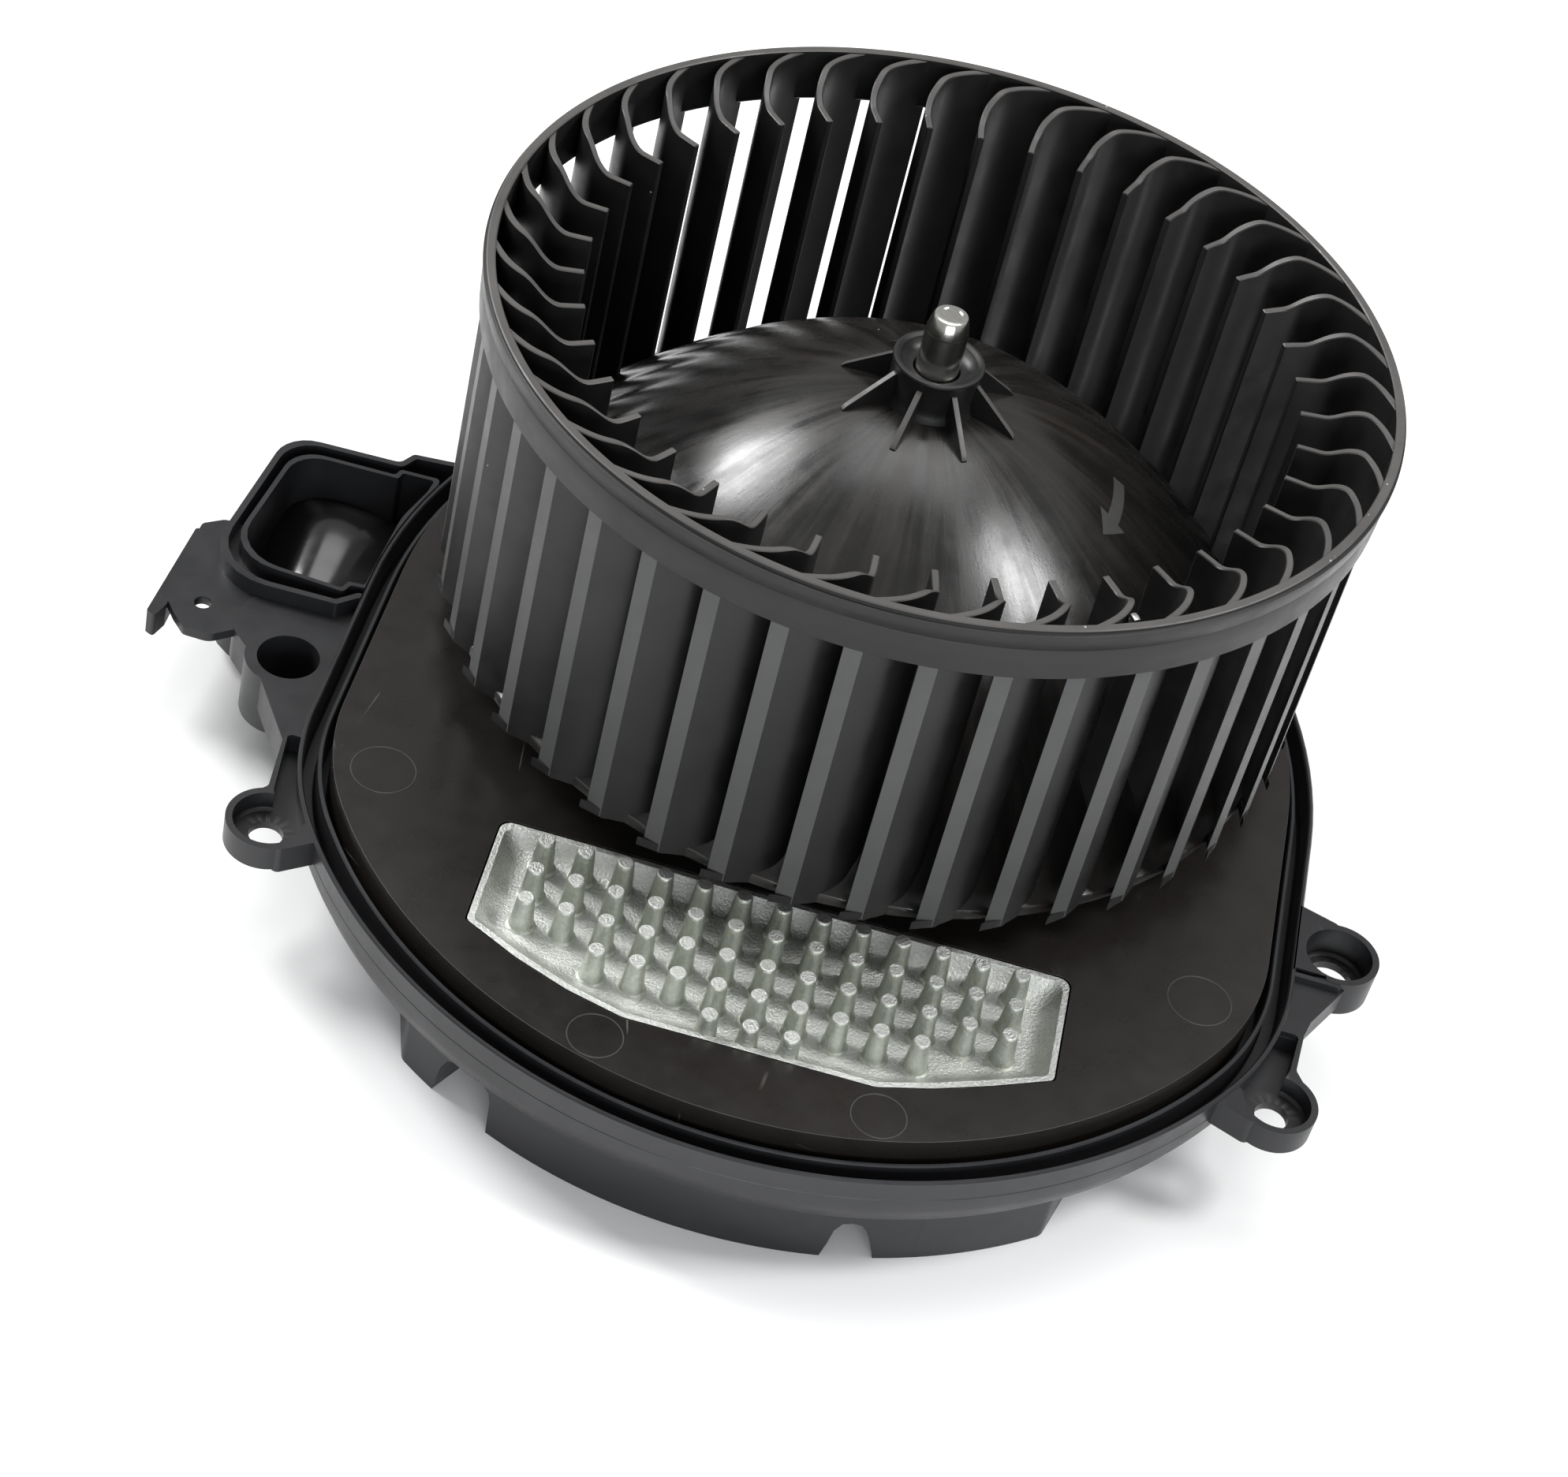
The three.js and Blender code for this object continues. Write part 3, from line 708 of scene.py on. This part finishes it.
def make_clip():
    """The spring clip on the rim's inner edge that balances the wheel."""
    path = [(73.3, 99.6), (72.6, 99.75), (71.9, 99.6), (71.5, 99.1), (71.4, 98.3), (71.6, 97.6), (72.1, 97.1),
            (72.8, 96.9), (73.2, 97.2)]
    turn = Matrix.Rotation(math.radians(-58.2), 3, "Z")
    sides, half_t, half_w = 8, 0.24, 0.5
    loops = []
    for i, (radius, z) in enumerate(path):
        a, b = path[max(0, i - 1)], path[min(len(path) - 1, i + 1)]
        along = Vector((b[0] - a[0], b[1] - a[1])).normalized()
        across = Vector((-along.y, 0.0, along.x))
        loop = []
        for k in range(sides):
            angle = 2 * math.pi * k / sides
            offset = across * (half_t * math.cos(angle)) + Vector((0, half_w * math.sin(angle), 0))
            loop.append(tuple(turn @ (Vector((radius, 0, z)) + offset)))
        loops.append(loop)
    return loft("rim_clip", loops)


def make_shaft():
    """The shaft with its retaining-ring groove near the bottom and the chamfered end on top."""
    profile = [(0.0, SHAFT_LOW), (SHAFT_NECK_R, SHAFT_LOW), (SHAFT_R, 14.1), (SHAFT_R, 15.5),
               (SHAFT_NECK_R, 15.5), (SHAFT_NECK_R, 16.7), (SHAFT_R, 16.7), (SHAFT_R, 95.9), (3.45, 96.25),
               (3.45, 96.4), (3.55, 96.6), (3.0, 99.1), (2.75, 99.45), (2.35, SHAFT_TOP), (1.9, SHAFT_TOP),
               (1.7, 99.45), (0.0, 99.4)]
    return lathe("shaft", profile, 96)


dress(make_blades(), ROTOR, [WHEEL, WHEEL_EDGE, WHEEL_STRIP], ["impeller_cage"],
      bevel=0.16, sharp=17, segments=1)
dress(make_tails(), ROTOR, [WHEEL])
dress(make_rim(), ROTOR, [WHEEL, WHEEL_EDGE])
dress(make_dome(), ROTOR, [DOME], ["impeller_dome"])
dress(make_boss(), ROTOR, [WHEEL])
dress(make_ribs(), ROTOR, [WHEEL, WHEEL_EDGE], bevel=0.12)
dress(make_arrow(), ROTOR, [ARROW])
dress(make_clip(), ROTOR, [STEEL], ["balance_clip"])
dress(make_shaft(), ROTOR, [SHAFT], ["motor_shaft"])


# ---------------------------------------------------------------- flange
def flange_outline(off):
    """The D-shaped outline moved outwards by off, always with the same number of points."""
    turn = math.degrees(math.atan2(FRONT_Y - SIDE_Y, SIDE_X))
    points = []
    steps = 60
    for i in range(steps + 1):
        c, s = polar(1.0, 180.0 * i / steps)
        points.append(((BACK_X + off) * c, BACK_MID + (BACK_Y + off) * s))
    points += arc(-SIDE_X, SIDE_Y, SIDE_R + off, 180, 180 + turn, 12)
    points += arc(0, FRONT_Y, FRONT_R + off, 180 + turn, 360 - turn, 60)[1:]
    points += arc(SIDE_X, SIDE_Y, SIDE_R + off, 360 - turn, 360, 12)[1:]
    return points


def flange_ring(name, section):
    return sweep(name, [[(x, y, z) for x, y in flange_outline(off)] for off, z in section])


def sink_outline(off):
    """The heat sink's outline moved outwards by about off, with the radius of some corners."""
    return [(47.5 + off, -65.6 + off, 2.0), (-47.5 - off, -65.6 + off, 2.0),
            (-47.3 - off, -88.8 - off * 0.6, 1.2), (-38 - off * 0.5, -93.7 - off),
            (-29 - off * 0.4, -97.3 - off), (-19.5, -99.7 - off, 4.0), (21.0, -99.3 - off, 4.0),
            (29.5 + off * 0.4, -96.4 - off), (38.5 + off * 0.5, -92.4 - off),
            (47.8 + off, -87.7 - off * 0.6, 1.2)]


def rounded(points, radius, steps=6):
    """Rounds each corner of an outline; a point's third value overrides the radius."""
    out = []
    count = len(points)
    for i in range(count):
        a, b, c = (Vector(points[(i + k) % count][:2]) for k in (-1, 0, 1))
        size = points[i][2] if len(points[i]) > 2 else radius
        u, v = (a - b).normalized(), (c - b).normalized()
        angle = u.angle(v)
        if angle > math.radians(172):
            out.append(tuple(b))
            continue
        reach = min(size / math.tan(angle / 2), (a - b).length * 0.49, (c - b).length * 0.49)
        start, end = b + u * reach, b + v * reach
        weight = math.sin(angle / 2)
        for s in range(steps + 1):
            t = s / steps
            w = (1 - t) ** 2 + 2 * t * (1 - t) * weight + t * t
            out.append(tuple((start * (1 - t) ** 2 + b * (2 * t * (1 - t) * weight) + end * t * t) / w))
    return out


def make_plate():
    """The carrier plate: its edge wall, the raised ring round the motor and the sink's window."""
    gap, wall_low, overlap = -0.05, 14.8, PLATE_LOW + 0.2
    body = prism("carrier", flange_outline(gap), PLATE_LOW, PLATE_Z)
    wall = flange_ring("wall", [(gap, wall_low), (gap, overlap), (-1.8, overlap), (-1.8, wall_low)])
    ring = [(WELL_R, 24.5), (46.0, 24.5), (46.0, 28.0), (45.8, 28.2), (44.2, 28.2), (WELL_R, 28.0)]
    well = lathe("well", ring)
    bore = WELL_R + 0.8
    cut(body, lathe("bore", [(0, BELOW), (bore, BELOW), (bore, ABOVE), (0, ABOVE)]))
    cut(body, prism("window", rounded(sink_outline(0.3), 1.2), BELOW, ABOVE))
    join(body, wall, well)
    return body


def make_plate_marks():
    """Witness rings left on the plate by the mould's ejector pins."""
    parts = []
    low, high = PLATE_Z - 0.1, PLATE_Z + 0.07
    for x, y, r in ((22.5, -105.0, 4.4), (68.5, -62.0, 5.3)):
        section = [(r - 0.15, low), (r + 0.15, low), (r + 0.08, high), (r - 0.08, high)]
        parts += [lathe("mark", section, 48, (side * x, y)) for side in (-1, 1)]
    return pack("plate_marks", parts)


def make_hoop():
    """The double lip with its groove and skirt: outer lip, groove, inner lip, floor, then the outside."""
    section = [(5.3, LIP_Z - 0.25), (5.05, LIP_Z), (4.65, LIP_Z), (4.4, LIP_Z - 0.25),
               (4.4, GROOVE_Z + 0.4), (4.1, GROOVE_Z), (2.3, GROOVE_Z), (2.0, GROOVE_Z + 0.4),
               (2.0, LIP_Z - 0.2), (1.8, LIP_Z), (1.4, LIP_Z), (1.2, LIP_Z - 0.2),
               (1.2, 14.5), (-5.0, 14.5), (-5.0, SKIRT_LOW), (3.2, SKIRT_LOW),
               (3.4, SKIRT_LOW + 0.2), (4.25, 14.6), (4.3, 14.75), (4.45, 14.85), (5.0, 16.6),
               (5.12, 19.2), (5.02, 19.3), (5.12, 19.4)]
    return flange_ring("hoop", section)


def make_lug(x, y, radius, low, top, hole, arm, pocket):
    """A thin-walled cup with a holed floor, and the walled arm that carries it."""
    outside = [(0, low), (radius - 0.4, low), (radius, low + 0.4), (radius, top), (0, top)]
    cup = lathe("cup", outside, 64, (x, y))
    join(cup, prism("arm", rounded(arm, 1.2), low, top))
    inner, floor = radius - LUG_WALL, low + LUG_FLOOR_T
    inside = [(0, floor), (inner - 0.5, floor), (inner, floor + 0.5), (inner, ABOVE), (0, ABOVE)]
    hollow = lathe("hollow", inside, 64, (x, y))
    join(hollow, prism("pocket", rounded(pocket, 0.8), floor, ABOVE))
    cut(cup, hollow, lathe("hole", [(0, BELOW), (hole, BELOW), (hole, top), (0, top)], 48, (x, y)))
    return cup


def make_tray():
    """The housing: hoop, three lugs and the web between the two on the right."""
    keep_out = prism("inside", flange_outline(4.75), GROOVE_Z - 0.3, ABOVE)
    lower = prism("inside_low", flange_outline(2), 0, GROOVE_Z - 0.2)
    left = make_lug(-83.3, -75.7, 6.8, LUG_LOW, LUG_TOP, LUG_HOLE_R,
                    [(-87.0, -52), (-85.4, -68.6), (-88, -72), (-80, -82.2), (-72, -76), (-74, -52)],
                    [(-86.0, -56), (-84.4, -68.9), (-83, -72.5), (-79.5, -77.6), (-74, -70), (-74, -56)])
    front = make_lug(84.0, -75.1, 6.7, LUG_LOW, LUG_TOP, LUG_HOLE_R,
                     [(87.2, -56), (86.4, -67.4), (88.6, -71), (80.5, -81.2), (70, -77), (74, -56)],
                     [(86.2, -59.6), (85.4, -67.6), (84, -72), (79.8, -76.8), (74, -70), (74, -59.6)])
    right = make_lug(91.2, -38.9, 6.9, 16.0, LIP_Z, 3.9,
                     [(90.8, -32.0), (80, -28.6), (80, -44.9), (90, -45.7)],
                     [(92, -38), (91, -38), (91, -39), (92, -39)])
    web = rounded([(80, -46), (93.5, -44.6), (88.0, -55), (86.8, -60), (80, -60)], 0.8)
    join(left, front, right, prism("web", web, LUG_LOW, 22.2))
    join(left, block("rib", 80, 92, -46.6, -45.6, LUG_LOW, 23.4))
    cut(left, block("rib_gap", 84, 89.4, -45.5, -44.7, 20.0, ABOVE))
    cut(left, keep_out, lower)
    return pack("housing_shell", [make_hoop(), left])


def make_sink():
    """The cast block; its recess has a rounded slope up to a thin lip."""
    body = prism("sink", rounded(sink_outline(0), SINK_ROUND), SINK_LOW, PLATE_Z)
    slope = [(SINK_FLOOR, -5.0), (24.15, -4.0), (24.6, -3.1), (25.4, -2.3), (26.3, -1.6), (26.9, -1.1),
             (PLATE_Z + 0.4, -0.9)]
    loops = [[(x, y, z) for x, y in rounded(sink_outline(off), SINK_ROUND)] for z, off in slope]
    return cut(body, loft("hollow", loops))


def make_pins():
    """The sink's tapered pins; their sides take a darker copy of the cast alloy, painted shade, and their flat
    tops keep the alloy's own lighter colour.
    """
    parts = []
    random.seed(7)
    low = SINK_FLOOR - 0.6
    for row, count in enumerate(PIN_ROWS):
        for i in range(count):
            x = (i - (count - 1) / 2) * PIN_STEP_X
            y = PIN_BACK_Y - row * PIN_STEP_Y
            top = PIN_TOP + random.uniform(-0.06, 0.06)
            profile = [(0, low), (2.55, low), (2.4, 24.05), (2.05, 24.35), (1.9, 24.9), (1.46, 29.8),
                       (1.42, 30.1), (1.3, top - 0.12), (1.15, top), (0, top - 0.02)]
            parts.append(paint_tops(lathe("pin", profile, 24, (x, y)), PIN_TOP - 0.3, 0.5))
    return pack("sink_pins", parts)


# Bevel faces of the plate and tray take material 1, the painted edge highlight.
dress(make_plate(), HOUSING, [PLATE, PAINTED_EDGE_HIGHLIGHT], ["carrier_plate"], bevel=0.22, edge=1)
# The ejector rings are painted in the same light grey: a painted highlight.
dress(make_plate_marks(), HOUSING, [PAINTED_EDGE_HIGHLIGHT])
dress(make_tray(), HOUSING, [TRAY, PAINTED_EDGE_HIGHLIGHT], ["housing_tray"], bevel=0.16, sharp=28, edge=1)
dress(make_sink(), HOUSING, [CAST], ["heat_sink"], bevel=0.35)
# Pin sides in the darker alloy copy are painted shade; pin tops are in the cast alloy.
dress(make_pins(), HOUSING, [PIN_SIDE_SHADE, CAST])


# ---------------------------------------------------------------- cooling duct
# outlines from above; a point's third value is its corner radius
DUCT_OUTER = [(-78.0, 24.8), (-78.6, 22.3), (-86.3, 21.4), (-88.0, 18.2, 1.6), (-108.6, 17.3, 6.5),
              (-112.2, -23.4, 11.5), (-87.7, -22.8), (-84.6, -19.7), (-78.0, -19.7)]
DUCT_INNER = [(-80.0, 16.6), (-87.4, 16.3), (-87.8, 14.5), (-106.1, 14.0, 6.0), (-109.3, -17.9, 8.5),
              (-87.6, -19.3), (-86.8, -17.2), (-83.8, -16.9), (-83.4, -7.4, 20), (-82.8, 3.6, 20),
              (-80.5, 12.1, 4)]
BOSS = [(-78, -20), (-102.5, -21, 6), (-103.6, -31.5, 5), (-97.6, -37.8, 3), (-86.9, -55.2), (-82, -55.2)]
BRACKET = [(-104, -6.5), (-112.6, -5.8, 2), (-116.0, -8.4), (-116.4, -28), (-113.2, -32.4), (-110.6, -35.2),
           (-106, -35.3, 3), (-100.5, -30.5)]
HOOK = [(-117.6, -33.6), (-116.0, -34.4), (-115.0, -31), (-115.1, -10), (-116.6, -10)]


def shrunk(points, amount):
    """An outline moved inwards, whichever way round its points run."""
    area = sum(a[0] * b[1] - b[0] * a[1] for a, b in zip(points, points[1:] + points[:1]))
    sign = 1.0 if area > 0 else -1.0
    out = []
    count = len(points)
    for i in range(count):
        a, b, c = (Vector(points[(i + k) % count][:2]) for k in (-1, 0, 1))
        u, v = (b - a).normalized(), (c - b).normalized()
        n = (Vector((-u.y, u.x)) + Vector((-v.y, v.x))).normalized()
        scale = 1.0 / max(0.5, n.dot(Vector((-u.y, u.x))))
        out.append((*(b + n * sign * amount * scale), *points[i][2:]))
    return out


def make_duct():
    """The double-walled air inlet, the round boss beside it and its snap bracket."""
    outer = prism("duct", rounded(DUCT_OUTER, 0.9), DUCT_LOW, LIP_Z)
    groove = prism("groove", rounded(shrunk(DUCT_OUTER, DUCT_WALL), 0.7), 15.5, ABOVE)
    cut(groove, prism("lip", rounded(DUCT_INNER, 0.8), 14.0, LIP_Z))
    join(outer, prism("boss", rounded(BOSS, 1.0), 13.5, BOSS_TOP))
    join(outer, lathe("cup", [(0, 9), (7.4, 9), (7.4, BOSS_TOP), (0, BOSS_TOP)], 64, RECESS_AT))
    recess = [(0, 10.5), (5.3, 10.5), (5.3, 20), (5.6, 30), (0, 30)]
    cut(outer, groove, lathe("recess", recess, 64, RECESS_AT))
    bracket = prism("bracket", rounded(BRACKET, 1.2), 18.5, BRACKET_TOP)
    join(bracket, prism("hook", rounded(HOOK, 0.5), 15.4, BRACKET_TOP))
    eye_r = 1.5
    cut(bracket, lathe("eye", [(0, BELOW), (eye_r, BELOW), (eye_r, ABOVE), (0, ABOVE)], 32, (-109.5, -28.0)))
    join(outer, bracket)
    cut(outer, prism("bore", rounded(shrunk(DUCT_INNER, 0.85), 0.5), DUCT_LOW + 3.0, ABOVE))
    cut(outer, prism("inside", flange_outline(5.4), BELOW, ABOVE))
    return outer


def make_scoop():
    """The curved floor inside the duct that turns the air under the flange."""
    top = []
    steps, wide = 24, 14
    for i in range(steps + 1):
        t = i / steps
        crown = 6.5 * math.sin(math.pi * min(1.0, t * 0.85 + 0.05))
        for j in range(wide + 1):
            s = j / wide
            y = -17.4 + 31.0 * s
            flatter = 1 - 0.55 * (2 * s - 1) ** 4
            top.append((-107.6 + 22.8 * t, y, 8.6 + crown * flatter + 0.2 * (y + 2)))
    return slab("duct_scoop", top, [(x, y, SCOOP_LOW) for x, y, _ in top], wide + 1)


# The duct's bevel faces take material 1, the painted edge highlight.
dress(make_duct(), HOUSING, [TRAY, PAINTED_EDGE_HIGHLIGHT], ["cooling_duct"], bevel=0.2, edge=1)
dress(make_scoop(), HOUSING, [DUCT_INSIDE])


# ---------------------------------------------------------------- bottom cover
def notch(name, degrees, outline):
    """A cutter through the cover's wall; outline is (along the wall, z)."""
    cutter = loft(name, [[(radius, side, z) for side, z in outline] for radius in (72.0, 94.0)])
    turn = Matrix.Rotation(math.radians(degrees), 4, "Z")
    cutter.data.transform(Matrix.Translation((0, FRONT_Y * MM, 0)) @ turn)
    return cutter


def make_cover():
    """The sheet under the flange and the box below it, whose wall stands on the ground in blocks."""
    sheet = prism("cover", flange_outline(1.2), COVER_BASE, SKIRT_LOW)
    front = arc(0, FRONT_Y, FRONT_R + 1.2, -127.5, -51.5, 56)
    back = [(60, -72, 4), (66, -40, 12), (60, 20, 12), (38, 52, 12), (-38, 52, 12), (-60, 20, 12),
            (-66, -40, 12), (-58, -78, 4)]
    join(sheet, prism("box", rounded(front + back, 2.5), 0, COVER_BASE + 0.4))
    wide = [(-6.4, BELOW), (-5.3, 6.0), (-4.2, 8.6), (-2.8, 9.6), (3.4, 9.6), (4.6, 9.0), (5.2, 7.0),
            (5.6, BELOW)]
    arch = [(-4.3, BELOW), (-3.4, 3.2), (-2.9, 6.4), (-1.9, 8.0), (-0.4, 8.4), (1.2, 8.0), (2.3, 6.6),
            (3.2, 4.2), (4.3, 1.2), (4.7, BELOW)]
    cut(sheet, notch("gap_left", -118.3, wide), notch("gap_right", -73.9, arch))
    cut(sheet, block("plug_hole", 12, 34, 34, 46, BELOW, 4))
    return sheet


dress(make_cover(), HOUSING, [TRAY], ["bottom_cover"], bevel=0.6, segments=3)

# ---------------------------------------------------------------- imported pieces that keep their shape
KEPT = {
    "retaining_ring": STEEL, "rotor_bell": STEEL, "magnet_ring": FERRITE, "stator_core": LAMINATION,
    "motor_base": CAST, "bearing_upper": SHAFT, "bearing_lower": SHAFT, "wave_washer": STEEL,
    "circuit_board": BOARD, "choke": COPPER, "connector_socket": PLATE,
}
FAMILIES = {
    "stator_coil_": COPPER, "rubber_mount_": RUBBER, "motor_screw_": STEEL, "sink_screw_": STEEL,
    "cover_screw_": STEEL, "power_transistor_": CHIP, "capacitor_": CAN,
}
for node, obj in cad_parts.items():
    paint = KEPT.get(node)
    for prefix, material in FAMILIES.items():
        if node.startswith(prefix):
            paint = material
    if paint is None:
        continue
    for place in obj.material_slots:
        place.material = paint

# ---------------------------------------------------------------- floor in millimetres
floor_material = Nodes("floor_paper")
floor_tone = floor_material.mix(floor_material.noise(6, 3, 0.5), (0.86, 0.86, 0.86), (0.9, 0.9, 0.9))
floor_material.finish(floor_tone, floor_material.span(floor_material.noise(90, 3, 0.5), 0.3, 0.7, 0.8, 0.9))
FLOOR = 6000.0
FLOOR_Z = -0.05
corners = [(x * FLOOR, y * FLOOR, FLOOR_Z) for x, y in ((-1, -1), (1, -1), (1, 1), (-1, 1))]
floor = shape("floor", corners, [[0, 1, 2, 3]])
floor.data.materials.append(floor_material.material)


# ---------------------------------------------------------------- lights and camera in metres
def area_light(name, place, target, size, power, tint=(1.0, 1.0, 1.0)):
    data = bpy.data.lights.new(name, "AREA")
    data.shape = "RECTANGLE"
    data.size, data.size_y = size
    data.energy = power
    data.color = tint
    obj = bpy.data.objects.new(name, data)
    obj.location = place
    obj.rotation_mode = "QUATERNION"
    obj.rotation_quaternion = (Vector(target) - Vector(place)).to_track_quat("-Z", "Y")
    bpy.context.scene.collection.objects.link(obj)


area_light("left_box", (-0.70, 0.25, 0.64), (0, 0, 0.06), (0.3, 0.42), 9)
area_light("right_box", (0.62, 0.02, 0.78), (0, 0, 0.06), (0.2, 0.34), 6)
area_light("front_box", (0.25, -0.95, 0.30), (0, 0, 0.04), (0.8, 0.3), 5.0, (0.93, 0.96, 1.0))
area_light("top_box", (0.0, 0.3, 1.05), (0, 0, 0.05), (0.8, 0.5), 4)

world = bpy.data.worlds.new("studio")
world.use_nodes = True
world.node_tree.nodes["Background"].inputs["Color"].default_value = (1.0, 1.0, 1.0, 1.0)
world.node_tree.nodes["Background"].inputs["Strength"].default_value = 0.45
bpy.context.scene.world = world
bpy.context.scene.view_settings.view_transform = "Standard"

camera_data = bpy.data.cameras.new("camera")
camera_data.sensor_width = 36.0
camera_data.lens = 80.82
camera_data.clip_start = 0.01
camera_data.clip_end = 50.0
camera = bpy.data.objects.new("camera", camera_data)
right = Vector((0.96222868, 0.19272515, 0.19228361))
up = Vector((-0.27192338, 0.64619273, 0.71308669))
back = Vector((0.01317747, -0.73843887, 0.67419165))
turned = Matrix((right, up, back)).transposed().to_4x4()
camera.matrix_world = Matrix.Translation((0, -0.466868, 0.427114)) @ turned
bpy.context.scene.collection.objects.link(camera)
bpy.context.scene.camera = camera
